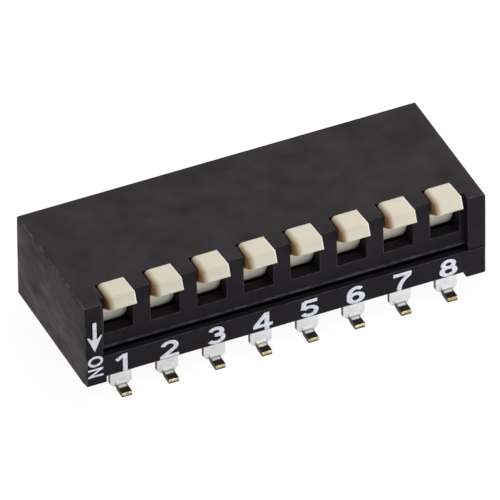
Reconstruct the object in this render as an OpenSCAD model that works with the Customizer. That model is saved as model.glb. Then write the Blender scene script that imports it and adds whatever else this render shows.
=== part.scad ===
// Eight-way piano DIP switch for surface mounting.
// Millimetres. X runs along the row, with switch 1 at -X, and the keys face -Y.
// Z = 0 is the plane that the solder feet stand on.

/* [Row] */
// Distance from one switch to the next
pitch = 2.54; // [2.4:0.02:3]
// Housing length beyond the eight pitches
end_extra = 1.52; // [1.4:0.02:2.4]

/* [Housing] */
// Housing depth, front to back, at its foot
body_d = 8.45; // [8:0.05:9.6]
// Housing height, from its stand-off feet to its top
body_h = 4.85; // [4.7:0.05:5.6]
// Lean of the front and back faces over their height
face_lean = 0.12; // [0.02:0.01:0.2]
// Roundness of the outer edges
edge_r = 0.12; // [0.05:0.01:0.2]
// Width of the solid column at each end of the front
column_w = 0.97; // [0.7:0.01:1.1]
// How far the window frame lies behind the columns
frame_recess = 0.5; // [0.42:0.01:0.6]
// Thickness of the top plate
top_t = 0.55; // [0.45:0.01:0.65]
// Thickness of the rear wall
rear_t = 0.82; // [0.6:0.01:1]

/* [Windows] */
// Width of one key window
window_w = 1.6; // [1.54:0.01:1.75]
// Window back edge, measured from the housing front
window_run = 1.66; // [1.5:0.01:1.9]
// Window sill, measured down from the top
sill_drop = 2.25; // [2.1:0.01:2.4]
// Height of the sill face under each window
sill_h = 0.87; // [0.6:0.01:0.92]
// Thickness of the front wall at the sill
sill_t = 0.7; // [0.6:0.01:0.75]
// Radius of the bead along the foot of the sill face
bead_r = 0.07; // [0.04:0.01:0.09]
// Depth of the groove under the bead
groove_run = 0.42; // [0.2:0.01:0.45]

/* [Base] */
// Height of the stand-off feet above the solder plane
stand_z = 0.95; // [0.8:0.01:1.2]
// How far the stand-off feet drop below the base
foot_drop = 0.365; // [0.2:0.005:0.45]
// Width of a stand-off foot
foot_block_w = 1.12; // [0.9:0.01:1.15]
// Roundness of a stand-off foot's lower corners
foot_block_r = 0.08; // [0.04:0.01:0.15]
// Height of the numbered strip at the front
strip_h = 1.265; // [1.2:0.005:1.3]
// Thickness of the numbered strip and of the rear skirt
strip_t = 0.32; // [0.26:0.01:0.34]
// Thickness of the base floor under the terminal arms
floor_t = 0.435; // [0.4:0.005:0.5]
// Height of the ribs between the switches, above the terminal arms
rib_h = 0.2; // [0.1:0.01:0.3]
// Reach of the base beyond the last window at each end
base_end = 0.08; // [0.06:0.01:0.15]

/* [Rocker] */
// Width of a key
key_w = 1.44; // [1.3:0.01:1.5]
// How far a key stands off the middle of its window, to the switch 8 side
key_shift = 0.03; // [0:0.01:0.04]
// Height of the key's front top edge above the housing, switch off
key_lift = 0.23; // [0.1:0.01:0.35]
// Key tip in front of the housing front, switch off
key_reach = 0.095; // [0:0.005:0.2]
// Height of the key's front face
key_h = 0.61; // [0.5:0.01:0.7]
// How far the key's front face leans out over its height
key_rake = 0.26; // [0.1:0.01:0.35]
// Slope of the key top, degrees
key_slope = 5.4; // [3:0.1:8]
// Roundness of the key's edges on the switch 1 side
key_r = 0.3; // [0.1:0.01:0.35]
// Roundness of the key's edges on its parting side
parting_r = 0.06; // [0.03:0.01:0.1]
// Roundness of the edge between key top and key front
key_nose_r = 0.2; // [0.1:0.01:0.25]
// Radius of the drum that closes the window under the key
drum_r = 2.86; // [2.8:0.01:2.9]
// Wall thickness of the drum
drum_t = 0.45; // [0.3:0.01:0.5]
// Lower edge of the drum, measured down from the pivot
drum_drop = 1.27; // [1.1:0.01:1.3]
// Length of the rear arm, from the pivot
rear_arm = 2.1; // [1.6:0.05:2.4]
// Underside of the hub, measured down from the pivot
seat_drop = 1; // [0.9:0.01:1.05]
// Tilt from off to on, degrees
on_angle = 15; // [10:0.5:16]
// Pivot, measured down from the top
pivot_drop = 1.25; // [1.2:0.01:1.3]
// Pivot, measured back from the housing front
pivot_run = 3.725; // [3.7:0.005:3.85]
// Diameter of the pivot pins
pin_d = 0.6; // [0.5:0.01:0.7]
// How far a pivot pin enters the wall beside it
pin_grip = 0.27; // [0.2:0.01:0.3]

/* [Contact] */
// Sheet thickness of the wiping contact
spring_t = 0.12; // [0.1:0.01:0.14]
// Width of the wiping contact
spring_w = 1.02; // [0.9:0.01:1.1]
// Slot between its two fingers
finger_gap = 0.34; // [0.26:0.01:0.4]
// Radius of the bump that wipes the terminals
bump_r = 0.25; // [0.2:0.01:0.28]
// Diameter of the staked peg
peg_d = 0.3; // [0.24:0.01:0.36]
// Diameter of the peg's staked head
head_d = 0.56; // [0.5:0.01:0.7]

/* [Terminals] */
// Sheet thickness of the terminals
sheet_t = 0.25; // [0.2:0.01:0.28]
// Inside radius of the bend into the contact arm
bend_r = 0.1; // [0.06:0.01:0.14]
// Inside radius of the bend into the solder foot
foot_bend_r = 0.25; // [0.15:0.01:0.28]
// Width of a terminal's shoulder
shoulder_w = 1.17; // [1:0.01:1.2]
// Lower edge of the shoulder above the solder plane
shoulder_z = 0.2; // [0.12:0.01:0.28]
// Size of the shoulder's cut corners
corner_cut = 0.18; // [0.1:0.01:0.28]
// Width of a solder foot
foot_w = 0.55; // [0.4:0.01:0.6]
// Solder foot tip in front of the housing face
foot_reach = 0.38; // [0.3:0.01:0.6]
// Shoulder face behind the housing face
shoulder_set = 0.36; // [0.35:0.005:0.42]
// Width of a contact arm
arm_w = 0.45; // [0.35:0.01:0.5]

/* [Clearances] */
// Radial play of the pivot pins
pin_play = 0.03; // [0.02:0.005:0.06]
// Gap at rest between a rocker and the stop above it
stop_gap = 0.05; // [0.03:0.01:0.08]
// Gap between a key and the back edge of its window
key_gap = 0.095; // [0.05:0.005:0.12]
// Gap between the wiping contact and the terminal arms
wipe_gap = 0.04; // [0.03:0.005:0.06]
// Gap between the fixed mouldings
fit_gap = 0.03; // [0.02:0.005:0.05]
// Gap between the terminals and the base beside them
slot_gap = 0.02; // [0.01:0.005:0.03]

/* [Hidden] */
$fn = 24;
count = 8;
weld = 0.02;                        // overlap of shapes that make one piece
past = 1;                           // cuts run this far past what they cut
body_l = count * pitch + end_extra;
half_l = body_l / 2;
top_z = stand_z + body_h;
front_y = -body_d / 2;
back_y = body_d / 2;
half_wall = (pitch - window_w) / 2; // half the wall between two windows

// base and housing
under_z = stand_z + foot_drop;      // underside of the base
strip_z = under_z + strip_h;        // top of the numbered strip, foot of the columns
strip_in_y = front_y + strip_t;
floor_z = under_z + floor_t;        // the terminal arms lie on this floor
arm_z = floor_z + sheet_t;
rib_z = arm_z + rib_h;
base_half_l = count / 2 * pitch - half_wall + base_end;
skirt_y = back_y - strip_t;         // inner face of the rear skirt
frame_y = front_y + frame_recess;
frame_half_l = half_l - column_w;
sill_z = top_z - sill_drop;
sill_foot_z = sill_z - sill_h;
wall_in_y = frame_y + sill_t;       // inner face of the front wall
groove_y = frame_y + groove_run;
window_back_y = front_y + window_run;
plate_z = top_z - top_t;            // underside of the top plate
rear_in_y = back_y - rear_t;
lean = face_lean / (top_z - strip_z);

// terminals
outer_r = sheet_t + bend_r;         // outside radius of the upper bend
foot_outer_r = sheet_t + foot_bend_r;
upright_y = front_y + shoulder_set; // outer face of the front uprights
arm_x = (spring_w + finger_gap) / 4; // each arm lies under a finger
arm_over = 0.15;                    // the front arm runs this far past the bump
channel_w = shoulder_w + 2 * slot_gap;

// rocker, measured from its pivot
pivot_y = front_y + pivot_run;
pivot_z = top_z - pivot_drop;
pin_r = pin_d / 2;
bearing_r = pin_r + pin_play;
hub_r = plate_z - stop_gap - pivot_z;
key_back = window_back_y - key_gap - pivot_y;
tip_y = front_y - key_reach - pivot_y;
nose_y = tip_y + key_rake;          // edge between key top and key front
nose_z = top_z + key_lift - pivot_z;
tip_z = nose_z - key_h;
front_a = atan2(key_h, key_rake);   // key front against the level
drum_y = 0.19;                      // centre of the drum
drum_z = 0.57;
drum_rise = 0.2;                    // the drum runs this far above its centre, into the key
drum_in = 1;                        // and is kept in front of this line before the pivot
under_y = drum_y - drum_r + drum_t / 2; // the key's underside meets the drum here
under_drop = 0.8;                   // how far that is below the key's tip
web_run = 2.4;                      // front corner of the web: in front of the pivot
web_drop = 0.3;                     // and below it
seat_front = 1.5;                   // the seat for the wiping contact, in front of the pivot
seat_back = 0.72;                   // and behind it
arm_rise = 0.3;                     // rise of the rear arm's underside
rear_top = hub_r - rear_arm * tan(on_angle);

// wiping contact, measured from the pivot
wipe_r = pivot_z - arm_z - wipe_gap;
wipe_a = on_angle / 2;
bump_y = -(wipe_r - bump_r) * sin(wipe_a);
bump_z = -(wipe_r - bump_r) * cos(wipe_a);
bump_drop = 0.11;                   // how far the bumps stand below the fingers
finger_z = -wipe_r + bump_drop;     // underside of the fingers
fold_r = -(finger_z + seat_drop) / 2;
fold_run = 0.8;                     // the strip folds over this far in front of the pivot
strap_back = 0.6;                   // its fixed end behind the pivot
head_t = 0.1;

function key_x(k) = (k - (count + 1) / 2) * pitch;
function wall_x(i) = (i - count / 2) * pitch;

// box from corner to corner
module span(x0, x1, y0, y1, z0, z1) {
  translate([x0, y0, z0]) cube([x1 - x0, y1 - y0, z1 - z0]);
}

// flat drawing in Y and Z, drawn out along X
module along_x(x0, x1) {
  translate([x0, 0, 0]) rotate([90, 0, 90]) linear_extrude(x1 - x0) children();
}

// flat drawing in X and Z, drawn out along Y
module along_y(y0, y1) {
  translate([0, y1, 0]) rotate([90, 0, 0]) linear_extrude(y1 - y0) children();
}

// rectangle with rounded corners: left_r at its x0 side, right_r at its x1 side
module round_rect(x0, x1, y0, y1, left_r, right_r) {
  translate([x0 + left_r, y0]) square([x1 - x0 - left_r - right_r, y1 - y0]);
  translate([x0, y0 + left_r]) square([left_r + weld, y1 - y0 - 2 * left_r]);
  translate([x1 - right_r - weld, y0 + right_r])
    square([right_r + weld, y1 - y0 - 2 * right_r]);
  for (y = [y0 + left_r, y1 - left_r]) translate([x0 + left_r, y]) circle(left_r);
  for (y = [y0 + right_r, y1 - right_r]) translate([x1 - right_r, y]) circle(right_r);
}

// flat ring of strip metal
module strip_ring(r, t) {
  difference() {
    circle(r);
    circle(r - t);
  }
}

// ---- housing ----

module cover_outline() {
  intersection() {
    along_x(-half_l, half_l) polygon([
      [strip_in_y, stand_z], [strip_in_y, strip_z], [front_y, strip_z],
      [front_y + face_lean, top_z], [back_y - face_lean, top_z], [back_y, stand_z]
    ]);
    // rounded top edges at the two ends
    along_y(-body_d, body_d) round_rect(-half_l, half_l, 0, top_z, edge_r, edge_r);
    // rounded upright corners
    linear_extrude(top_z + past) round_rect(-half_l, half_l, front_y, back_y, edge_r, edge_r);
    // rounded top edges at front and back
    along_x(-body_l, body_l)
      round_rect(front_y + face_lean / 2, back_y - face_lean / 2, 0, top_z, edge_r, edge_r);
  }
}

// bearings for the pivot pins, open downwards so that the rockers go in from below
module bearing_slots() {
  for (i = [0 : count]) translate([wall_x(i), pivot_y, 0]) {
    x0 = i == 0 ? half_wall - pin_grip - 2 * fit_gap : -half_wall - weld;
    x1 = i == count ? -half_wall + pin_grip + 2 * fit_gap : half_wall + weld;
    span(x0, x1, -bearing_r, bearing_r, 0, pivot_z);
    translate([x0, 0, pivot_z]) rotate([0, 90, 0]) cylinder(r = bearing_r, h = x1 - x0);
  }
}

module cover() {
  color("#2b2a2d") {
    difference() {
      cover_outline();
      // sunk window frame between the columns
      along_x(-frame_half_l, frame_half_l) polygon([
        [front_y - past, 0], [frame_y, 0], [frame_y, strip_z],
        [frame_y + lean * (top_z + past - strip_z), top_z + past], [front_y - past, top_z + past]
      ]);
      // groove under the sill face
      span(-frame_half_l, frame_half_l, front_y, groove_y, 0, sill_foot_z);
      // windows, and the pockets behind them
      for (k = [1 : count]) translate([key_x(k), 0, 0]) {
        span(-window_w / 2, window_w / 2, front_y - past, window_back_y, sill_z, top_z + past);
        span(-window_w / 2, window_w / 2, wall_in_y, rear_in_y, 0, plate_z);
      }
      bearing_slots();
      // room for the base
      span(-base_half_l, base_half_l, front_y - past, skirt_y, 0, arm_z + fit_gap);
      span(-base_half_l, base_half_l, wall_in_y, skirt_y, 0, rib_z + fit_gap);
      // between the stand-off feet
      span(-half_l + foot_block_w, half_l - foot_block_w, front_y - past, back_y + past, 0, under_z);
    }
    // bead along the foot of the sill face
    translate([-frame_half_l, frame_y, sill_foot_z + bead_r]) rotate([0, 90, 0])
      cylinder(r = bead_r, h = 2 * frame_half_l);
  }
}

// ---- base: numbered strip, floor, ribs and bearing posts in one moulding ----

module numbered_strip() {
  intersection() {
    union() {
      span(-half_l, half_l, front_y, strip_in_y, under_z, strip_z);
      for (s = [-1, 1]) scale([s, 1, 1]) along_y(front_y, strip_in_y)
        round_rect(half_l - foot_block_w, half_l, stand_z, strip_z - weld,
                   foot_block_r, foot_block_r);
    }
    linear_extrude(top_z) round_rect(-half_l, half_l, front_y, back_y, edge_r, edge_r);
  }
}

module base() {
  floor_half_l = base_half_l - fit_gap;
  color("#242328") difference() {
    union() {
      numbered_strip();
      span(-floor_half_l, floor_half_l, strip_in_y - weld, skirt_y - fit_gap, under_z, floor_z);
      // ribs between the switches, lower under the front wall of the housing
      span(-floor_half_l, floor_half_l, groove_y, wall_in_y + fit_gap, under_z, arm_z);
      span(-floor_half_l, floor_half_l, wall_in_y + fit_gap, rear_in_y - fit_gap, under_z, rib_z);
      // posts that close the pin bearings from below
      for (i = [0 : count]) translate([wall_x(i), pivot_y, 0]) {
        x0 = i == 0 ? half_wall - pin_grip - fit_gap : -half_wall + fit_gap;
        x1 = i == count ? -half_wall + pin_grip + fit_gap : half_wall - fit_gap;
        span(x0, x1, -pin_r, pin_r, under_z, pivot_z - pin_play);
        span(i == 0 ? x0 : -half_wall, i == count ? x1 : half_wall, -pin_r, pin_r, under_z, floor_z);
      }
    }
    // saddles under the pins
    translate([-half_l, pivot_y, pivot_z]) rotate([0, 90, 0])
      cylinder(r = bearing_r, h = body_l);
    for (k = [1 : count]) translate([key_x(k), 0, 0]) {
      // channel for the two contact arms
      span(-channel_w / 2, channel_w / 2, strip_in_y, back_y, floor_z, top_z);
      // slots for the uprights
      for (s = [-1, 1]) scale([1, s, 1]) {
        span(-channel_w / 2, channel_w / 2, strip_in_y, upright_y + sheet_t, 0, top_z);
        span(-channel_w / 2, channel_w / 2, strip_in_y, upright_y + outer_r,
             floor_z - bend_r, top_z);
      }
    }
  }
}

// ---- rocker: key, drum, hub, rear arm, pins and peg in one moulding ----

// key top and key front, with the round nose between them
module key_profile() {
  turn = key_slope + front_a;             // angle the outline turns through
  run = key_nose_r * tan(turn / 2);       // from the edge to where the nose starts
  top_in = [nose_y + run * cos(key_slope), nose_z - run * sin(key_slope)];
  front_in = [nose_y - run * cos(front_a), nose_z - run * sin(front_a)];
  centre = [top_in[0] - key_nose_r * sin(key_slope), top_in[1] - key_nose_r * cos(key_slope)];
  back_z = nose_z - (key_back - nose_y) * tan(key_slope);
  polygon([
    [key_back, hub_r], [key_back, back_z], top_in, centre, front_in, [tip_y, tip_z],
    [under_y, tip_z - under_drop]
  ]);
  translate(centre) circle(key_nose_r);
}

module rocker_profile() {
  key_profile();
  // web, hub and rear arm; its flat top and its sloping top meet the plate as stops
  polygon([
    [key_back, hub_r], [under_y, tip_z - under_drop], [-web_run, -web_drop],
    [-seat_front, -seat_drop], [seat_back, -seat_drop], [rear_arm, -seat_drop + arm_rise],
    [rear_arm, rear_top], [0, hub_r]
  ]);
  circle(hub_r);
  // drum
  intersection() {
    translate([drum_y, drum_z]) strip_ring(drum_r, drum_t, $fn = 60);
    translate([-drum_r, -drum_drop]) square([drum_r - drum_in, drum_z + drum_drop + drum_rise]);
  }
}

module rocker_shape() {
  intersection() {
    along_x(key_shift - key_w / 2, key_shift + key_w / 2) rocker_profile();
    // rounded long edges, following the sloping key top
    translate([key_shift, nose_y, nose_z]) rotate([90 - key_slope, 0, 0])
      translate([0, 0, -body_d]) linear_extrude(2 * body_d)
        round_rect(-key_w / 2, key_w / 2, -2 * body_h, 0, key_r, parting_r);
    // rounded upright edges, following the leaning key front
    translate([key_shift, tip_y, tip_z]) rotate([front_a - 90, 0, 0])
      translate([0, 0, -body_h]) linear_extrude(2 * body_h)
        round_rect(-key_w / 2, key_w / 2, 0, body_d, key_r, parting_r);
  }
  // pivot pins
  rotate([0, 90, 0]) cylinder(r = pin_r, h = window_w + 2 * pin_grip, center = true);
  // peg and staked head that hold the wiping contact
  translate([0, 0, -seat_drop - spring_t - head_t]) {
    cylinder(d = peg_d, h = spring_t + head_t + weld);
    cylinder(d = head_d, h = head_t);
  }
}

module rocker(k) {
  color("#e2dac6") translate([key_x(k), pivot_y, pivot_z]) rocker_shape();
}

// ---- wiping contact: a folded strip with two fingers ----

module contact_profile() {
  strap_z = -seat_drop - spring_t;
  translate([-fold_run, strap_z]) square([strap_back + fold_run, spring_t]);
  // fold
  intersection() {
    translate([-fold_run, -seat_drop - fold_r]) strip_ring(fold_r, spring_t);
    translate([-fold_run - fold_r - past, -wipe_r - past]) square([fold_r + past, wipe_r + past]);
  }
  // finger and its bump
  translate([-fold_run - weld, finger_z]) square([bump_y - bump_r + 2 * weld + fold_run, spring_t]);
  translate([bump_y, bump_z]) intersection() {
    strip_ring(bump_r, spring_t);
    translate([-bump_r, -bump_r]) square([2 * bump_r, bump_r + weld]);
  }
}

module contact_shape() {
  difference() {
    along_x(-spring_w / 2, spring_w / 2) contact_profile();
    // slot between the fingers
    span(-finger_gap / 2, finger_gap / 2, -fold_run - fold_r - past, strap_back + past,
         -wipe_r - past, -seat_drop - fold_r);
    // hole for the peg
    translate([0, 0, -seat_drop - fold_r]) cylinder(d = peg_d + 2 * slot_gap, h = fold_r + past);
  }
}

module contact(k) {
  color("#c9a24a") translate([key_x(k), pivot_y, pivot_z]) contact_shape();
}

// ---- terminals: foot, wide shoulder and contact arm, bent from one strip ----

// quarter of a bend of outer radius r round c; dy and dz point from c to the side that is kept
module quarter_bend(c, r, dy, dz) {
  translate(c) intersection() {
    strip_ring(r, sheet_t);
    translate([dy > 0 ? 0 : -r, dz > 0 ? 0 : -r]) square(r);
  }
}

// front terminal of a switch at x = 0, with its arm ending at arm_end
module terminal_shape(arm_end) {
  bend_y = upright_y - foot_bend_r;
  tip = front_y - foot_reach;
  half_w = shoulder_w / 2;
  top_bend = [upright_y + outer_r, floor_z - bend_r];
  // foot and lower bend
  along_x(-foot_w / 2, foot_w / 2) {
    translate([tip, 0]) square([bend_y - tip, sheet_t]);
    quarter_bend([bend_y, foot_outer_r], foot_outer_r, 1, -1);
  }
  // shoulder with cut corners
  along_y(upright_y, upright_y + sheet_t) polygon([
    [-foot_w / 2, shoulder_z], [-foot_w / 2, foot_outer_r], [foot_w / 2, foot_outer_r],
    [foot_w / 2, shoulder_z], [half_w - corner_cut, shoulder_z],
    [half_w, shoulder_z + corner_cut], [half_w, top_bend[1]], [-half_w, top_bend[1]],
    [-half_w, shoulder_z + corner_cut], [-half_w + corner_cut, shoulder_z]
  ]);
  // upper bend and contact arm
  along_x(-arm_x - arm_w / 2, -arm_x + arm_w / 2) {
    quarter_bend(top_bend, outer_r, -1, 1);
    translate([top_bend[0], floor_z]) square([arm_end - top_bend[0], sheet_t]);
  }
}

// the first finger always rides on this terminal's arm
module front_terminal(k) {
  color("#d9d7d2") translate([key_x(k), 0, 0]) terminal_shape(pivot_y - bump_y + arm_over);
}

// the second finger reaches this terminal's arm only when the switch is on
module rear_terminal(k) {
  color("#d9d7d2") translate([key_x(k), 0, 0]) rotate([0, 0, 180]) terminal_shape(-pivot_y);
}

cover();
base();
rocker(1);  // rocker_1
rocker(2);  // rocker_2
rocker(3);  // rocker_3
rocker(4);  // rocker_4
rocker(5);  // rocker_5
rocker(6);  // rocker_6
rocker(7);  // rocker_7
rocker(8);  // rocker_8
contact(1);  // contact_1
contact(2);  // contact_2
contact(3);  // contact_3
contact(4);  // contact_4
contact(5);  // contact_5
contact(6);  // contact_6
contact(7);  // contact_7
contact(8);  // contact_8
front_terminal(1);  // front_terminal_1
front_terminal(2);  // front_terminal_2
front_terminal(3);  // front_terminal_3
front_terminal(4);  // front_terminal_4
front_terminal(5);  // front_terminal_5
front_terminal(6);  // front_terminal_6
front_terminal(7);  // front_terminal_7
front_terminal(8);  // front_terminal_8
rear_terminal(1);  // rear_terminal_1
rear_terminal(2);  // rear_terminal_2
rear_terminal(3);  // rear_terminal_3
rear_terminal(4);  // rear_terminal_4
rear_terminal(5);  // rear_terminal_5
rear_terminal(6);  // rear_terminal_6
rear_terminal(7);  // rear_terminal_7
rear_terminal(8);  // rear_terminal_8
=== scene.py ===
# %% [markdown]
# # The looks of an eight-way piano DIP switch
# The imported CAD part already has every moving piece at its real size. Here it gets its
# finishes, its print, a studio and a camera. Blender works in metres and this switch is
# drawn in millimetres, so a millimetre gets a name first.

import math

import bpy
from mathutils import Matrix, Vector


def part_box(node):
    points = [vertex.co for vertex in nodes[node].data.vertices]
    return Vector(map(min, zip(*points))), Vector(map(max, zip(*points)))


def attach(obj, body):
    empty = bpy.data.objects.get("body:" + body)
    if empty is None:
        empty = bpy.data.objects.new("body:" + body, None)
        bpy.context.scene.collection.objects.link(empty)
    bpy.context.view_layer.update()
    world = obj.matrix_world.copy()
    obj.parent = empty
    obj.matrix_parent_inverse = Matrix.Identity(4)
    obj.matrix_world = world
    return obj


MM = 0.001
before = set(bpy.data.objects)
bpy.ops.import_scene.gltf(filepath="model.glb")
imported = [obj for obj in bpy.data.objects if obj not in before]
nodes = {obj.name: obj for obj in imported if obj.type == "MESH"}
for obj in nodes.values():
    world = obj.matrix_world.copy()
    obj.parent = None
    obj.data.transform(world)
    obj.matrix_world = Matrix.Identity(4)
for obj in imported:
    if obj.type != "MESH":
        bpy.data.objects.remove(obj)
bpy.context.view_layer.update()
bpy.ops.object.select_all(action="DESELECT")

# %% [markdown]
# ## Places taken from the frame
# The print has to sit on the moulded faces and under its own keys, so those places are
# read from the boxes of the CAD nodes and not typed a second time.

# %% Measure what the print sits on
WAYS = 8
rocker_boxes = [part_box(f"rocker_{k}") for k in range(1, WAYS + 1)]
key_centres = [(painted_bounce.x + high.x) / 2 for painted_bounce, high in rocker_boxes]
pitch = (key_centres[-1] - key_centres[0]) / (WAYS - 1)
base_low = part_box("base")[0]
cover_low, cover_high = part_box("cover")
print(f"pitch {pitch / MM:.2f} mm, strip face at y {base_low.y / MM:.3f} mm")

# %% [markdown]
# ## The camera
# A long lens far away keeps the housing's edges nearly parallel, as product pictures
# have them. The camera is placed by the angle it looks from, its roll and its distance,
# which is easier to reason about than three coordinates.

# %% Place the camera
CAMERA_AZIMUTH = math.radians(-24.045)
CAMERA_ELEVATION = math.radians(38.390)
CAMERA_ROLL = math.radians(-0.636)
CAMERA_DISTANCE = 806.4 * MM
AIM_RIGHT = -0.058 * MM
AIM_UP = -2.239 * MM
VIEW_WIDTH = 24.844 * MM
SENSOR = 36
NEAREST = 10 * MM
FARTHEST = 10


def place_camera():
    """A camera that looks at the middle of the housing's top, a little off centre."""
    back = Vector((
        math.sin(CAMERA_AZIMUTH) * math.cos(CAMERA_ELEVATION),
        -math.cos(CAMERA_AZIMUTH) * math.cos(CAMERA_ELEVATION),
        math.sin(CAMERA_ELEVATION),
    ))
    level = (-back).cross(Vector((0, 0, 1))).normalized()
    rise = level.cross(-back)
    right = math.cos(CAMERA_ROLL) * level + math.sin(CAMERA_ROLL) * rise
    up = math.cos(CAMERA_ROLL) * rise - math.sin(CAMERA_ROLL) * level
    place = Vector((0, 0, cover_high.z)) + right * AIM_RIGHT + up * AIM_UP
    place += back * CAMERA_DISTANCE
    bpy.ops.object.camera_add()
    made = bpy.context.object
    made.name = "camera"
    turn = Matrix((right, up, back)).transposed().to_4x4()
    made.matrix_world = Matrix.Translation(place) @ turn
    made.data.sensor_width = SENSOR
    made.data.lens = SENSOR * CAMERA_DISTANCE / VIEW_WIDTH
    made.data.clip_start = NEAREST
    made.data.clip_end = FARTHEST
    bpy.context.scene.camera = made
    return made


camera = place_camera()
print(f"lens {camera.data.lens:.0f} mm, {CAMERA_DISTANCE / MM:.0f} mm away")

# %% [markdown]
# ## Helpers for materials
# Colours are written as the sRGB hex values that a colour picker shows, and one function
# turns them to the linear values that Blender computes with. A second one adds a node with
# its settings and links, so that each material below reads as a short list. A third starts
# an empty material. Most materials then ask for the object's own coordinates, so that a
# pattern stays where it is on a piece, and give its scale as one over a real size.

# %% Colour and node helpers


def linear(code):
    """Linear RGBA of an sRGB colour such as "c8cddb"."""
    channels = [int(code[i:i + 2], 16) / 255 for i in (0, 2, 4)]
    flat = [c / 12.92 if c <= 0.04045 else ((c + 0.055) / 1.055) ** 2.4 for c in channels]
    return (*flat, 1.0)


def add(tree, kind, inputs=(), **settings):
    """Adds a node. Each input takes a value, a node's first output or a chosen output."""
    made = tree.nodes.new("ShaderNode" + kind)
    for name, value in settings.items():
        setattr(made, name, value)
    for name, value in dict(inputs).items():
        if isinstance(value, bpy.types.Node):
            value = value.outputs[0]
        if isinstance(value, bpy.types.NodeSocket):
            tree.links.new(value, made.inputs[name])
        else:
            made.inputs[name].default_value = value
    return made


def start_material(name):
    """An empty node material and its node tree."""
    made = bpy.data.materials.new(name)
    made.use_nodes = True
    made.node_tree.nodes.clear()
    return made, made.node_tree


# sockets of a Mix node that mixes colours
SHARE, FIRST, SECOND, MIXED = 0, 6, 7, 2
print("helpers ready")

# %% [markdown]
# ## Glass-filled nylon, black
# The housing and the base are moulded from black nylon filled with short glass fibres,
# which stands the heat of soldering. Its finish needs two masks, which are grey values
# from 0 to 1 that later say where one colour gives way to another.
#
# The first mask finds the edges, which get a painted highlight in lighter patches, as if
# light caught them. A bevel node rounds the sharp ones for the light only, and they are
# where its normal and the true one differ. A rounding that the CAD has is found where the
# surface faces between two axes. The painted highlight is strongest on the edges at the ends.

# %% Find the edges of the housing that get a painted highlight
EDGE_RADIUS = 0.09 * MM
HIGHLIGHT_PATCH = 0.45 * MM
INNER_HIGHLIGHT = 0.6


def find_worn_edges(tree, place, edge_normal, facing, near_end):
    """The mask of the painted edge highlight. Facing holds the sizes of the rounded normal's parts.
    """
    true_normal = add(tree, "NewGeometry").outputs["Normal"]
    flatness = add(tree, "VectorMath", {0: edge_normal, 1: true_normal},
                   operation="DOT_PRODUCT").outputs["Value"]
    sharp = add(tree, "MapRange", {"Value": flatness, "From Min": 0.995, "From Max": 0.86,
                                   "To Min": 0.0, "To Max": 0.7})
    squarest = add(tree, "Math", {0: facing.outputs["X"], 1: facing.outputs["Y"]},
                   operation="MAXIMUM")
    squarest = add(tree, "Math", {0: squarest, 1: facing.outputs["Z"]}, operation="MAXIMUM")
    rounded = add(tree, "MapRange", {"Value": squarest, "From Min": 0.995, "From Max": 0.9})
    edge_highlight = add(tree, "Math", {0: sharp, 1: rounded}, operation="MAXIMUM")
    patches = add(tree, "TexNoise", {"Vector": place, "Scale": 1 / HIGHLIGHT_PATCH, "Detail": 4.0,
                                     "Roughness": 0.6})
    patches = add(tree, "MapRange", {"Value": patches, "From Min": 0.42, "From Max": 0.6,
                                     "To Min": 0.25, "To Max": 0.9})
    edge_highlight = add(tree, "Math", {0: edge_highlight, 1: patches}, operation="MULTIPLY")
    end_highlight = add(tree, "MapRange", {"Value": near_end, "To Min": INNER_HIGHLIGHT, "To Max": 1.0})
    return add(tree, "Math", {0: edge_highlight, 1: end_highlight}, operation="MULTIPLY")


print(f"edges rounded for the light by {EDGE_RADIUS / MM:.2f} mm")

# %% [markdown]
# The parts travel in tubes and rub there on their ends. The second mask is the scuffing of
# the two ends, with painted sheen in it. Its marks are drawn out along the tube by a Mapping
# node that squeezes the pattern in that direction. They come in broad patches and are
# painted stronger at the bottom of an end than at its top, as painted light bounced up from
# the floor.

# %% Find the scuffs and painted sheen on the ends
SCUFF_SIZE = 1.0 * MM
SCUFF_SQUEEZE = 0.36
SCUFF_PATCH = 1.9 * MM


def find_scuffs(tree, place, height, facing, near_end):
    """The mask of the scuffs and painted sheen on the faces that look left and right."""
    along = add(tree, "Mapping", {"Vector": place, "Scale": (1.0, SCUFF_SQUEEZE, 1.0)})
    marks = add(tree, "TexNoise", {"Vector": along, "Scale": 1 / SCUFF_SIZE, "Detail": 5.0,
                                   "Roughness": 0.65})
    marks = add(tree, "MapRange", {"Value": marks, "From Min": 0.34, "From Max": 0.69})
    broad = add(tree, "TexNoise", {"Vector": place, "Scale": 1 / SCUFF_PATCH, "Detail": 1.0})
    broad = add(tree, "MapRange", {"Value": broad, "From Min": 0.35, "From Max": 0.65,
                                   "To Min": 0.6, "To Max": 1.3})
    # Painted light: the marks grow stronger towards the bottom, as if lit by the floor.
    painted_bounce = add(tree, "MapRange", {"Value": height, "From Min": cover_high.z,
                                 "From Max": cover_low.z, "To Min": 0.3, "To Max": 1.35})
    end = add(tree, "MapRange", {"Value": facing.outputs["X"], "From Min": 0.7,
                                 "From Max": 0.95})
    for limit in (broad, painted_bounce, end, near_end):
        marks = add(tree, "Math", {0: marks, 1: limit}, operation="MULTIPLY")
    return marks


print(f"scuffs of {SCUFF_SIZE / MM:.1f} mm on the ends")

# %% [markdown]
# The mould is spark-eroded, which leaves a fine matt grain. The real grain is finer than a
# picture of the whole part can show, so it is drawn at 0.07 mm, as coarse as it needs to
# be. The melt leaves faint cloudy marks as it flows, a little paler and glossier than the
# rest. Narrow gaps get painted shade and are drawn almost black. The cover and the base are
# two mouldings of two batches, so the base is a shade deeper.

# %% Black housing material
GRAIN_SIZE = 0.07 * MM
GRAIN_DEPTH = 0.01 * MM
CLOUD_SIZE = 1.6 * MM
GAP_REACH = 0.3 * MM
END_BAND = (cover_high.x - 0.3 * MM, cover_high.x - 0.2 * MM)


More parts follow.
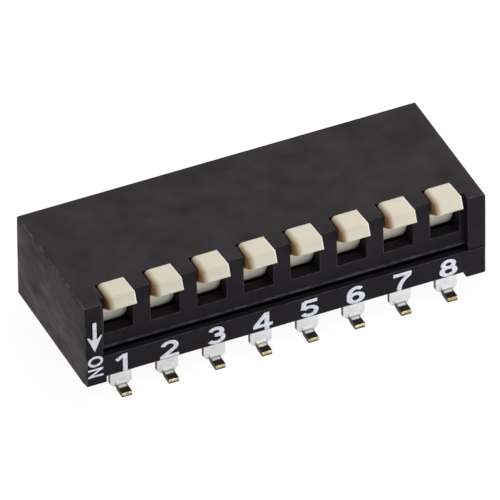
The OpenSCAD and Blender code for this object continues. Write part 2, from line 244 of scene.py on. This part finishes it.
def make_housing_nylon(name, deep, pale):
    """The housing's finish. Deep and pale are the two colours of its clouds."""
    material, tree = start_material(name)
    place = add(tree, "TexCoord").outputs["Object"]
    spot = add(tree, "SeparateXYZ", {"Vector": place})
    sideways = add(tree, "Math", {0: spot.outputs["X"]}, operation="ABSOLUTE")
    near_end = add(tree, "MapRange", {"Value": sideways, "From Min": END_BAND[0],
                                      "From Max": END_BAND[1]})
    edge_normal = add(tree, "Bevel", {"Radius": EDGE_RADIUS}, samples=8)
    facing = add(tree, "VectorMath", {0: edge_normal}, operation="ABSOLUTE")
    facing = add(tree, "SeparateXYZ", {"Vector": facing})
    edge_highlight = find_worn_edges(tree, place, edge_normal, facing, near_end)
    scuffs_and_sheen = find_scuffs(tree, place, spot.outputs["Z"], facing, near_end)
    cloud = add(tree, "TexNoise", {"Vector": place, "Scale": 1 / CLOUD_SIZE, "Detail": 4.0,
                                   "Roughness": 0.6})
    clouds = add(tree, "MapRange", {"Value": cloud, "From Min": 0.35, "From Max": 0.65})
    colour = add(tree, "Mix", {SHARE: clouds, FIRST: linear(deep),
                               SECOND: linear(pale)}, data_type="RGBA")
    # Scuffs with painted sheen lighten the ends, painted stronger near their bottom.
    colour = add(tree, "Mix", {SHARE: scuffs_and_sheen, FIRST: colour.outputs[MIXED],
                               SECOND: linear("665d61")}, data_type="RGBA")
    # Painted highlight: the edges are mixed towards a lighter grey.
    colour = add(tree, "Mix", {SHARE: edge_highlight, FIRST: colour.outputs[MIXED],
                               SECOND: linear("68646a")}, data_type="RGBA")
    # Painted shade: narrow gaps, found by ambient occlusion, are darkened almost to black.
    gap = add(tree, "AmbientOcclusion", {"Distance": GAP_REACH}, samples=6)
    out_of_gap_shade = add(tree, "MapRange", {"Value": gap.outputs["AO"], "From Min": 0.35,
                                   "From Max": 0.85})
    colour = add(tree, "Mix", {SHARE: out_of_gap_shade, FIRST: linear("0b0a0b"),
                               SECOND: colour.outputs[MIXED]}, data_type="RGBA")
    rough = add(tree, "MapRange", {"Value": cloud, "From Min": 0.3, "From Max": 0.7,
                                   "To Min": 0.66, "To Max": 0.54})
    grain = add(tree, "TexNoise", {"Vector": place, "Scale": 1 / GRAIN_SIZE, "Detail": 3.0})
    bumps = add(tree, "Bump", {"Height": grain, "Strength": 0.32, "Distance": GRAIN_DEPTH,
                               "Normal": edge_normal})
    shader = add(tree, "BsdfPrincipled", {
        "Base Color": colour.outputs[MIXED], "Roughness": rough, "Normal": bumps,
        "IOR": 1.5, "Specular IOR Level": 0.1})
    add(tree, "OutputMaterial", {"Surface": shader})
    return material


cover_nylon = make_housing_nylon("glass_filled_nylon_cover", "1b181c", "221e22")
base_nylon = make_housing_nylon("glass_filled_nylon_base", "181519", "1d1a1e")
print("materials:", cover_nylon.name, base_nylon.name)

# %% [markdown]
# ## Cream nylon
# The rockers are moulded from unfilled nylon coloured cream. It lets a little light in, so
# it gets some subsurface scattering, and the surface is smooth, with a soft gloss and a
# faint grain that is drawn at 0.05 mm so that it shows. The left sides lie in the shade of
# the windows, and that shade is painted in as a warm brown. The right edges get a painted
# highlight, drawn pale. Both are found by how far the rounded normal leans to that side.

# %% Cream key material
KEY_EDGE_RADIUS = 0.1 * MM
KEY_GRAIN_SIZE = 0.05 * MM
KEY_CLOUD_SIZE = 0.9 * MM
LIGHT_DEPTH = 0.35 * MM


def make_key_nylon():
    """The rockers' finish. The keys turn about X, so a lean to the side stays the same."""
    material, tree = start_material("nylon_cream")
    place = add(tree, "TexCoord").outputs["Object"]
    edge_normal = add(tree, "Bevel", {"Radius": KEY_EDGE_RADIUS}, samples=8)
    lean = add(tree, "SeparateXYZ", {"Vector": edge_normal}).outputs["X"]
    cloud = add(tree, "TexNoise", {"Vector": place, "Scale": 1 / KEY_CLOUD_SIZE, "Detail": 3.0})
    colour = add(tree, "Mix", {SHARE: cloud, FIRST: linear("d1cab6"),
                               SECOND: linear("dbd5c2")}, data_type="RGBA")
    # Painted highlight: the right edges are mixed towards white.
    right_edge_highlight = add(tree, "MapRange", {"Value": lean, "From Min": 0.12, "From Max": 0.5})
    colour = add(tree, "Mix", {SHARE: right_edge_highlight, FIRST: colour.outputs[MIXED],
                               SECOND: linear("ffffff")}, data_type="RGBA")
    # Painted shade: the left sides are mixed towards a warm brown.
    painted_side_shade = add(tree, "MapRange", {"Value": lean, "From Min": -0.4, "From Max": -1.0,
                                   "To Min": 0.0, "To Max": 0.9})
    colour = add(tree, "Mix", {SHARE: painted_side_shade, FIRST: colour.outputs[MIXED],
                               SECOND: linear("b98b52")}, data_type="RGBA")
    grain = add(tree, "TexNoise", {"Vector": place, "Scale": 1 / KEY_GRAIN_SIZE, "Detail": 2.0})
    bumps = add(tree, "Bump", {"Height": grain, "Strength": 0.12, "Distance": GRAIN_DEPTH,
                               "Normal": edge_normal})
    shader = add(tree, "BsdfPrincipled", {
        "Base Color": colour.outputs[MIXED], "Roughness": 0.42, "Normal": bumps,
        "IOR": 1.53, "Subsurface Weight": 1.0, "Subsurface Radius": (1.0, 0.75, 0.55),
        "Subsurface Scale": LIGHT_DEPTH})
    add(tree, "OutputMaterial", {"Surface": shader})
    return material


key_nylon = make_key_nylon()
print("material:", key_nylon.name)

# %% [markdown]
# ## Tin over brass
# The terminals are punched from brass strip that was tinned first, so their wide faces are
# tin and their sheared edges show brass. The punched strip is then bent down into a
# shoulder and out into a foot. Reflection and shade are painted on it in dark: a painted
# dark band and a border around a bright patch on the bend, where the bend mirrors the
# dark foot, a painted shade line under the shoulder, and the whole foot, painted dark as
# the black housing that it mirrors.
#
# All of these lie at a known reach from the middle of the housing, at a known height or
# at a known distance from a foot's own middle. The feet stand one pitch apart, so the
# fraction of X over the pitch is one half in the middle of every foot.

# %% Find the painted dark reflections and shade on a terminal
# A dark brown for the painted reflection and shade on the tin, and for the brass sides near the
# foot.
DARK_BROWN = linear("2b2521")
BEND_START = 3.865 * MM
BEND_END = 4.115 * MM
FOOT_HALF = 0.275 * MM
SHOULDER_FOOT = 0.2 * MM
DARK_BAND_RISE = (BEND_START + 0.05 * MM, BEND_START + 0.1 * MM)
BRIGHT_PATCH_RISE = (BEND_START + 0.11 * MM, BEND_START + 0.15 * MM)
FOOT_RISE = (BEND_END + 0.01 * MM, BEND_END + 0.05 * MM)
BORDER_RISE = ((FOOT_HALF - 0.1 * MM) / pitch, (FOOT_HALF - 0.04 * MM) / pitch)
UNDER_EDGE_RISE = (SHOULDER_FOOT + 0.04 * MM, SHOULDER_FOOT + 0.01 * MM)


def find_dark_marks(tree, spot, reach):
    """The mask of the painted dark: the bend's band and border, the shade under the shoulder and
    the foot.
    """
    # Painted reflection: a dark band where the bend starts, as it would mirror the dark foot.
    dark_band_start = add(tree, "MapRange", {"Value": reach, "From Min": DARK_BAND_RISE[0],
                                    "From Max": DARK_BAND_RISE[1]})
    bright_patch_start = add(tree, "MapRange", {"Value": reach, "From Min": BRIGHT_PATCH_RISE[0],
                                     "From Max": BRIGHT_PATCH_RISE[1]})
    # Painted reflection: the whole foot is dark, as it would mirror the black housing.
    foot = add(tree, "MapRange", {"Value": reach, "From Min": FOOT_RISE[0],
                                  "From Max": FOOT_RISE[1]})
    pitches = add(tree, "Math", {0: spot.outputs["X"], 1: pitch}, operation="DIVIDE")
    across = add(tree, "Math", {0: pitches}, operation="FRACT")
    across = add(tree, "Math", {0: across, 1: 0.5}, operation="SUBTRACT")
    across = add(tree, "Math", {0: across}, operation="ABSOLUTE")
    # Painted reflection: the bend's sides stay dark beside the bright patch.
    border = add(tree, "MapRange", {"Value": across, "From Min": BORDER_RISE[0],
                                    "From Max": BORDER_RISE[1]})
    border = add(tree, "Math", {0: border, 1: dark_band_start}, operation="MULTIPLY")
    # Painted shade: a dark line under the shoulder's lower edge.
    under_edge_shade = add(tree, "MapRange", {"Value": spot.outputs["Z"], "From Min": UNDER_EDGE_RISE[0],
                                  "From Max": UNDER_EDGE_RISE[1]})
    under_edge_shade = add(tree, "Math", {0: under_edge_shade, 1: dark_band_start}, operation="SUBTRACT", use_clamp=True)
    painted_dark = add(tree, "Math", {0: dark_band_start, 1: bright_patch_start}, operation="SUBTRACT")
    for mark in (border, under_edge_shade):
        painted_dark = add(tree, "Math", {0: painted_dark, 1: mark}, operation="MAXIMUM")
    painted_dark = add(tree, "Math", {0: painted_dark, 1: 0.85}, operation="MULTIPLY")
    return add(tree, "Math", {0: painted_dark, 1: foot}, operation="MAXIMUM")


print(f"bend from {BEND_START / MM:.3f} to {BEND_END / MM:.3f} mm")

# %% [markdown]
# Brass looks different at each cut. The punched sides are dull brown and darken towards
# the foot. A foot's tip, where the strip was cut off last, is clean and bright above and
# torn and dark below.

# %% Paint the sheared brass
CLEAN_SPECK = 0.12 * MM
TORN_RISE = (0.15 * MM, 0.05 * MM)
SUNK_RISE = (0.5 * MM, 0.28 * MM)


def paint_brass(tree, place, height, tip):
    """The colour of the cut edges. Tip is the mask of the feet's ends."""
    specks = add(tree, "TexNoise", {"Vector": place, "Scale": 1 / CLEAN_SPECK, "Detail": 3.0})
    specks = add(tree, "MapRange", {"Value": specks, "From Min": 0.45, "From Max": 0.65})
    clean = add(tree, "Mix", {SHARE: specks, FIRST: linear("b9a074"),
                              SECOND: linear("f0e4c6")}, data_type="RGBA")
    torn = add(tree, "MapRange", {"Value": height, "From Min": TORN_RISE[0],
                                  "From Max": TORN_RISE[1]})
    end = add(tree, "Mix", {SHARE: torn, FIRST: clean.outputs[MIXED],
                            SECOND: linear("4a3b28")}, data_type="RGBA")
    sunk = add(tree, "MapRange", {"Value": height, "From Min": SUNK_RISE[0],
                                  "From Max": SUNK_RISE[1]})
    side = add(tree, "Mix", {SHARE: sunk, FIRST: linear("5d4829"),
                             SECOND: DARK_BROWN}, data_type="RGBA")
    return add(tree, "Mix", {SHARE: tip, FIRST: side.outputs[MIXED],
                             SECOND: end.outputs[MIXED]}, data_type="RGBA")


print("brass torn below", TORN_RISE[0] / MM, "mm")

# %% [markdown]
# The tin is frosted and a little wavy. Frosted tin scatters light from its crystals in all
# directions and shows hardly any mirror image, so it is made a pale, matt coat and not a
# metal, while the bare brass and the painted dark places are metal.

# %% Terminal material
FOOT_TIP = -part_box("front_terminal_1")[0].y
EDGE_DEPTH = 0.012 * MM
SIDE_FACING = 0.6
TIN_EDGE_RADIUS = 0.03 * MM
TIN_WAVE = 0.22 * MM
TIN_WAVE_DEPTH = 0.01 * MM
STAIN_SIZE = 0.35 * MM


def make_terminal_tin():
    """The terminals' finish: tin, brass where it is cut, and painted dark reflections and shade."""
    material, tree = start_material("tinned_brass")
    place = add(tree, "TexCoord").outputs["Object"]
    spot = add(tree, "SeparateXYZ", {"Vector": place})
    true_normal = add(tree, "NewGeometry").outputs["True Normal"]
    lean = add(tree, "SeparateXYZ", {"Vector": true_normal}).outputs["X"]
    lean = add(tree, "Math", {0: lean}, operation="ABSOLUTE")
    side = add(tree, "Math", {0: lean, 1: SIDE_FACING}, operation="GREATER_THAN")
    reach = add(tree, "Math", {0: spot.outputs["Y"]}, operation="ABSOLUTE")
    tip = add(tree, "Math", {0: reach, 1: FOOT_TIP - EDGE_DEPTH}, operation="GREATER_THAN")
    cut = add(tree, "Math", {0: side, 1: tip}, operation="MAXIMUM")
    painted_dark = find_dark_marks(tree, spot, reach)
    brass = paint_brass(tree, place, spot.outputs["Z"], tip)
    stain = add(tree, "TexNoise", {"Vector": place, "Scale": 1 / STAIN_SIZE, "Detail": 4.0,
                                   "Roughness": 0.6})
    stains = add(tree, "MapRange", {"Value": stain, "From Min": 0.5, "From Max": 0.75})
    tin = add(tree, "Mix", {SHARE: stains, FIRST: linear("fffcf6"),
                            SECOND: linear("e8e4e0")}, data_type="RGBA")
    # The painted reflection and shade mix the tin towards dark brown.
    tin_and_painted_dark = add(tree, "Mix", {SHARE: painted_dark, FIRST: tin.outputs[MIXED],
                             SECOND: DARK_BROWN}, data_type="RGBA")
    colour = add(tree, "Mix", {SHARE: cut, FIRST: tin_and_painted_dark.outputs[MIXED],
                               SECOND: brass.outputs[MIXED]}, data_type="RGBA")
    metal = add(tree, "Math", {0: cut, 1: painted_dark}, operation="MAXIMUM")
    rough = add(tree, "MapRange", {"Value": cut, "To Min": 0.4, "To Max": 0.45})
    edge_normal = add(tree, "Bevel", {"Radius": TIN_EDGE_RADIUS}, samples=6)
    waves = add(tree, "TexNoise", {"Vector": place, "Scale": 1 / TIN_WAVE, "Detail": 3.0})
    bumps = add(tree, "Bump", {"Height": waves, "Strength": 0.3, "Distance": TIN_WAVE_DEPTH,
                               "Normal": edge_normal})
    shader = add(tree, "BsdfPrincipled", {
        "Base Color": colour.outputs[MIXED], "Metallic": metal, "Roughness": rough,
        "Normal": bumps, "Specular IOR Level": 1.0})
    add(tree, "OutputMaterial", {"Surface": shader})
    return material


terminal_tin = make_terminal_tin()
print("material:", terminal_tin.name)

# %% [markdown]
# ## Gold-flashed contact and ink
# The wiping contacts under the rockers are spring bronze with a flash of gold. The print
# is pad-printed ink, thin enough that the black shows through it a little in places.

# %% Contact and ink materials
GOLD_TONE = 0.4 * MM
INK_THIN_SPOT = 0.12 * MM


def make_contact_gold():
    """The contacts' finish: smooth gold that is a little redder in places."""
    material, tree = start_material("gold_flashed_bronze")
    place = add(tree, "TexCoord").outputs["Object"]
    tone = add(tree, "TexNoise", {"Vector": place, "Scale": 1 / GOLD_TONE, "Detail": 2.0})
    colour = add(tree, "Mix", {SHARE: tone, FIRST: linear("d9b45c"),
                               SECOND: linear("c2984a")}, data_type="RGBA")
    rough = add(tree, "MapRange", {"Value": tone, "To Min": 0.2, "To Max": 0.35})
    shader = add(tree, "BsdfPrincipled", {
        "Base Color": colour.outputs[MIXED], "Metallic": 1.0, "Roughness": rough})
    add(tree, "OutputMaterial", {"Surface": shader})
    return material


def make_print_ink():
    """The print's finish: matt white ink, greyer where it is thin."""
    material, tree = start_material("pad_print_ink")
    place = add(tree, "TexCoord").outputs["Object"]
    thin = add(tree, "TexNoise", {"Vector": place, "Scale": 1 / INK_THIN_SPOT, "Detail": 3.0})
    thinness = add(tree, "MapRange", {"Value": thin, "From Min": 0.45, "From Max": 0.75})
    colour = add(tree, "Mix", {SHARE: thinness, FIRST: linear("ebeef4"),
                               SECOND: linear("c2c6d0")}, data_type="RGBA")
    shader = add(tree, "BsdfPrincipled", {
        "Base Color": colour.outputs[MIXED], "Roughness": 0.6, "Specular IOR Level": 0.3})
    add(tree, "OutputMaterial", {"Surface": shader})
    return material


contact_gold = make_contact_gold()
print_ink = make_print_ink()
print("materials:", contact_gold.name, print_ink.name)

# %% [markdown]
# ## Finishes on the CAD nodes
# A CAD node keeps its mesh and its place. Only the material in its slots is changed.

# %% Give every CAD node its finish
FINISHES = {"cover": cover_nylon, "base": base_nylon, "rocker": key_nylon,
            "contact": contact_gold, "front": terminal_tin, "rear": terminal_tin}
for name, node in nodes.items():
    finish = FINISHES[name.split("_")[0]]
    for slot in node.material_slots:
        slot.material = finish
print("finished nodes:", len(nodes))

# %% [markdown]
# ## The print
# The numbers, the arrow and the word ON are pad-printed. A digit of this bold wide kind
# could come from a font, but Blender's own font looks too light and has no flag on its 1.
# So each is drawn as a sign painter would, with a few strokes of one round pen: a stroke
# is a short list of points, and its round stretches are arcs of an ellipse. A curve with
# a round bevel turns every stroke into a tube, the tubes are pressed flat, and a voxel
# remesh melts them into one skin of ink with the softened corners that print has.

# %% The strokes of each sign, in heights of the sign
ARC_STEP = 9


def arc(x, z, half_width, half_height, start, end):
    """Points on an ellipse from one angle to another, in degrees."""
    steps = max(4, round(abs(end - start) / ARC_STEP))
    turns = [math.radians(start + (end - start) * i / steps) for i in range(steps + 1)]
    return [(x + half_width * math.cos(a), z + half_height * math.sin(a)) for a in turns]


SIGNS = {
    "1": [[(0.10, 0.0), (0.10, 1.0)], [(-0.24, 0.71), (0.07, 0.93)]],
    "2": [arc(0, 0.66, 0.265, 0.245, 165, -40) + [(-0.26, 0.12)], [(-0.37, 0.095), (0.37, 0.095)]],
    "3": [arc(-0.01, 0.70, 0.235, 0.205, 158, -85), arc(0, 0.32, 0.27, 0.225, 85, -158),
          [(-0.06, 0.52), (0.05, 0.52)]],
    "4": [[(0.16, 0.0), (0.16, 1.0)], [(-0.38, 0.28), (0.39, 0.28)], [(-0.31, 0.30), (0.13, 0.94)]],
    "5": [[(-0.2, 0.905), (0.31, 0.905)], [(-0.195, 0.95), (-0.25, 0.49)],
          arc(0, 0.335, 0.27, 0.24, 140, -160)],
    "6": [arc(0, 0.33, 0.27, 0.235, 0, 360), arc(0, 0.33, 0.235, 0.235, 0, 360),
          arc(0.02, 0.5, 0.29, 0.405, 205, 48)],
    "7": [[(-0.35, 0.905), (0.37, 0.905)], arc(0.75, 0, 0.87, 0.95, 120, 180)],
    "8": [arc(0, 0.71, 0.21, 0.19, 0, 360), arc(0, 0.315, 0.265, 0.22, 0, 360),
          arc(0, 0.315, 0.245, 0.22, 0, 360)],
    "O": [arc(0, 0.5, 0.32, 0.415, 0, 360)],
    "N": [[(-0.25, 0.0), (-0.25, 1.0)], [(0.25, 0.0), (0.25, 1.0)], [(-0.25, 0.92), (0.25, 0.08)]],
}
print("signs:", " ".join(SIGNS))

# %% [markdown]
# The ink stands two hundredths of a millimetre proud. Half of the pressed tube lies
# under the plastic's face, so only its domed upper half shows, and its outline is made
# a little uneven by a displacement, as the pad leaves it. Blender refuses to remesh with
# voxels as small as these, so a sign is drawn a thousand times too large, with a
# millimetre as one unit, and shrunk to its real size at the end.

# %% Draw a sign and press it onto a face
# all in millimetres
INK_RISE = 0.02
INK_VOXEL = 0.013
INK_RAGGED = 0.016
INK_GRAIN = 0.07
ink_unevenness = bpy.data.textures.new("ink_unevenness", "CLOUDS")
ink_unevenness.noise_scale = INK_GRAIN


def melt_ink(piece):
    """Joins overlapping shapes into one skin with a slightly ragged outline."""
    melt = piece.modifiers.new("melt", "REMESH")
    melt.mode = "VOXEL"
    melt.voxel_size = INK_VOXEL
    melt.use_smooth_shade = True
    ragged = piece.modifiers.new("ragged", "DISPLACE")
    ragged.texture = ink_unevenness
    ragged.texture_coords = "LOCAL"
    ragged.strength = INK_RAGGED
    for modifier in ("melt", "ragged"):
        bpy.ops.object.modifier_apply(modifier=modifier)


def settle(piece, material, body):
    """Shrinks a finished piece from millimetres and gives it its finish and its body."""
    piece.scale = (MM, MM, MM)
    bpy.ops.object.transform_apply(location=True, rotation=True, scale=True)
    piece.data.materials.append(material)
    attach(piece, body)
    piece.select_set(False)


def draw_sign(name, strokes, pen, size, middle, turn=0.0):
    """Draws strokes with a round pen on the face at middle. Pen and size are in mm."""
    bpy.ops.curve.primitive_bezier_curve_add()
    piece = bpy.context.object
    piece.name = name
    curve = piece.data
    curve.splines.clear()
    for stroke in strokes:
        spline = curve.splines.new("POLY")
        closed = math.dist(stroke[0], stroke[-1]) < 1e-6
        points = stroke[:-1] if closed else stroke
        spline.points.add(len(points) - 1)
        for point, (x, z) in zip(spline.points, points):
            point.co = (x * size[1], (z - 0.5) * size[1], 0, 1)
        spline.use_cyclic_u = closed
    curve.bevel_depth = pen / 2
    curve.bevel_resolution = 3
    curve.use_fill_caps = True
    bpy.ops.object.convert(target="MESH")
    piece.scale = (size[0] / size[1], 1, INK_RISE / (pen / 2))
    bpy.ops.object.transform_apply(location=False, rotation=False, scale=True)
    melt_ink(piece)
    piece.rotation_euler = (math.radians(90), turn, 0)
    piece.location = middle
    settle(piece, print_ink, "housing")
    return piece


print("ink stands", INK_RISE, "mm proud")

# %% [markdown]
# Each number stands in the middle under its key, near the strip's lower edge. The word ON
# is printed turned by a quarter, below the arrow that shows which way a key is pressed.

# %% Print the numbers and the word ON
# heights and pens in millimetres, places in metres
DIGIT_HEIGHT = 1.07
DIGIT_STRETCH = 1.3
DIGIT_PEN = 0.205
DIGIT_FOOT = 1.34 * MM
DIGIT_SHIFT = -0.052 * MM
WORD_X = -10.405 * MM
WORD_HEIGHT = 0.82
WORD_PEN = 0.15
THIN_PEN = 0.125

for k in range(1, WAYS + 1):
    spot = (key_centres[k - 1] + DIGIT_SHIFT, base_low.y, DIGIT_FOOT + DIGIT_HEIGHT * MM / 2)
    draw_sign(f"number_{k}", SIGNS[str(k)], DIGIT_PEN,
              (DIGIT_HEIGHT * DIGIT_STRETCH, DIGIT_HEIGHT), spot)
for letter, pen, z in (("O", WORD_PEN, 2.42 * MM), ("N", THIN_PEN, 1.71 * MM)):
    draw_sign(f"letter_{letter}", SIGNS[letter], pen, (WORD_HEIGHT, WORD_HEIGHT),
              (WORD_X, base_low.y, z), turn=math.radians(90))
print("printed:", WAYS, "numbers and ON")

# %% [markdown]
# The arrow is one outline with straight edges, so it is a flat curve that is filled and
# given a thickness, and then melted like the rest.

# %% Print the arrow
# the outline in millimetres, its place in metres
ARROW_X = -10.43 * MM
ARROW_TOP = 4.87
ARROW_TIP = 3.04
SHAFT_HALF = 0.105
BARB_REACH = 0.4
BARB_Z = 3.99
BARB_CUT = 0.05
THROAT_Z = 3.77


def print_arrow():
    """An arrow that points down, with barbs swept back from the shaft."""
    half = [(SHAFT_HALF, ARROW_TOP), (SHAFT_HALF, THROAT_Z),
            (BARB_REACH - BARB_CUT, BARB_Z + BARB_CUT), (BARB_REACH, BARB_Z), (0, ARROW_TIP)]
    outline = half + [(-x, z) for x, z in reversed(half[:-1])]
    bpy.ops.curve.primitive_bezier_curve_add()
    arrow = bpy.context.object
    arrow.name = "arrow"
    curve = arrow.data
    curve.splines.clear()
    curve.dimensions = "2D"
    curve.fill_mode = "BOTH"
    spline = curve.splines.new("POLY")
    spline.points.add(len(outline) - 1)
    for point, (x, z) in zip(spline.points, outline):
        point.co = (x, z, 0, 1)
    spline.use_cyclic_u = True
    curve.extrude = INK_RISE
    bpy.ops.object.convert(target="MESH")
    melt_ink(arrow)
    arrow.rotation_euler = (math.radians(90), 0, 0)
    arrow.location = (ARROW_X, base_low.y, 0)
    settle(arrow, print_ink, "housing")
    return arrow


arrow = print_arrow()
print("arrow faces:", len(arrow.data.polygons))

# %% [markdown]
# ## Floor and world
# The floor and the world show as white to the camera and in reflections, while the light
# that they bounce on stays plain. A Light Path node tells the two apart. Most of the
# floor's white is glow and the small rest is lit, so it still darkens a little where the
# part shades it. It lies a hair below the feet, so that the two never share a plane.

# %% Place the floor and the world
FLOOR_SIZE = 1.2
FLOOR_DROP = 0.01 * MM
FLOOR_GLOW = 0.95
FLOOR_LIT = 0.13
WORLD_FILL = 0.14


def find_seen_rays(tree):
    """Is 1 for what the camera sees, also in a mirror, and 0 for light on its way."""
    rays = add(tree, "LightPath")
    seen = add(tree, "Math", {0: rays.outputs["Is Camera Ray"], 1: rays.outputs["Is Glossy Ray"]},
               operation="MAXIMUM")
    return add(tree, "Math", {0: seen, 1: rays.outputs["Is Transmission Ray"]},
               operation="MAXIMUM")


def make_floor():
    """A large card under the part."""
    bpy.ops.mesh.primitive_plane_add(size=FLOOR_SIZE)
    floor = bpy.context.object
    floor.name = "floor"
    floor.location.z = -FLOOR_DROP
    material, tree = start_material("floor_card")
    card = add(tree, "BsdfDiffuse", {"Color": linear("e8e8e8")})
    shaded = add(tree, "BsdfDiffuse", {"Color": (FLOOR_LIT, FLOOR_LIT, FLOOR_LIT, 1)})
    glow = add(tree, "Emission", {"Strength": FLOOR_GLOW})
    white = add(tree, "AddShader", {0: shaded, 1: glow})
    shader = add(tree, "MixShader", {0: find_seen_rays(tree), 1: card, 2: white})
    add(tree, "OutputMaterial", {"Surface": shader})
    floor.data.materials.append(material)
    return floor


def make_world():
    """A white surround that adds only a little light."""
    world = bpy.data.worlds.new("studio")
    world.use_nodes = True
    tree = world.node_tree
    tree.nodes.clear()
    strength = add(tree, "MapRange", {"Value": find_seen_rays(tree), "To Min": WORLD_FILL,
                                      "To Max": 1.0})
    light = add(tree, "Background", {"Color": (1, 1, 1, 1), "Strength": strength})
    add(tree, "OutputWorld", {"Surface": light})
    bpy.context.scene.world = world
    return world


floor = make_floor()
world = make_world()
print("placed:", floor.name, "and the world", world.name)

# %% [markdown]
# A metal shows what stands around it, so in an all-white room it looks like paper. A black
# card in front gives the bare metal something dark to show. It is left out of all but the
# reflections, so it neither shades the part nor stands in the picture.

# %% Stand a black card in front
FLAG_WIDTH = FLOOR_SIZE
FLAG_SHARE = 0.5
FLAG_LIFT = 20 * MM


def make_flag():
    """An upright card, half as high as it is wide."""
    bpy.ops.mesh.primitive_plane_add(size=FLAG_WIDTH, rotation=(math.radians(90), 0, 0))
    flag = bpy.context.object
    flag.name = "flag"
    flag.location = (0, -FLOOR_SIZE / 2, FLAG_LIFT + FLAG_WIDTH * FLAG_SHARE / 2)
    flag.scale = (1, FLAG_SHARE, 1)
    material, tree = start_material("black_card")
    shader = add(tree, "BsdfDiffuse", {"Color": linear("141414")})
    add(tree, "OutputMaterial", {"Surface": shader})
    flag.data.materials.append(material)
    flag.visible_camera = False
    flag.visible_diffuse = False
    flag.visible_shadow = False
    return flag


flag = make_flag()
print("placed:", flag.name)

# %% [markdown]
# ## Lamps
# Five soft square lamps do the lighting: one above, one in front and low, which reaches
# the drums in their windows, one behind, whose sheen lies on the top, one at the right
# for the right edges, and a weak one for the left end. Their colours lean a little to
# warm or cool, as lamps and the walls of a room do.

# %% Hang the lamps
# place and size in millimetres, power in watts, colour
LAMPS = {
    "top_lamp": ((44, -11, 140), 94, 0.097, "fffef2"),
    "front_lamp": ((36, -135, 27), 60, 0.080, "f0f3ff"),
    "back_lamp": ((65, 130, 115), 100, 0.120, "fff4f4"),
    "side_lamp": ((60, -50, 16), 26, 0.013, "f0f2ff"),
    "end_lamp": ((-75, 20, 22), 40, 0.008, "fff0ec"),
}


def add_lamp(name, place, size, power, colour):
    """A square soft lamp that points at the middle of the part."""
    bpy.ops.object.light_add(type="AREA", location=place)
    lamp = bpy.context.object
    lamp.name = name
    lamp.data.size = size
    lamp.data.energy = power
    lamp.data.color = linear(colour)[:3]
    lamp.rotation_euler = (-place).to_track_quat("-Z", "Y").to_euler()


for name, (place, size, power, colour) in LAMPS.items():
    add_lamp(name, Vector(place) * MM, size * MM, power, colour)
bpy.context.scene.view_settings.view_transform = "Standard"
print("lamps:", " ".join(LAMPS))
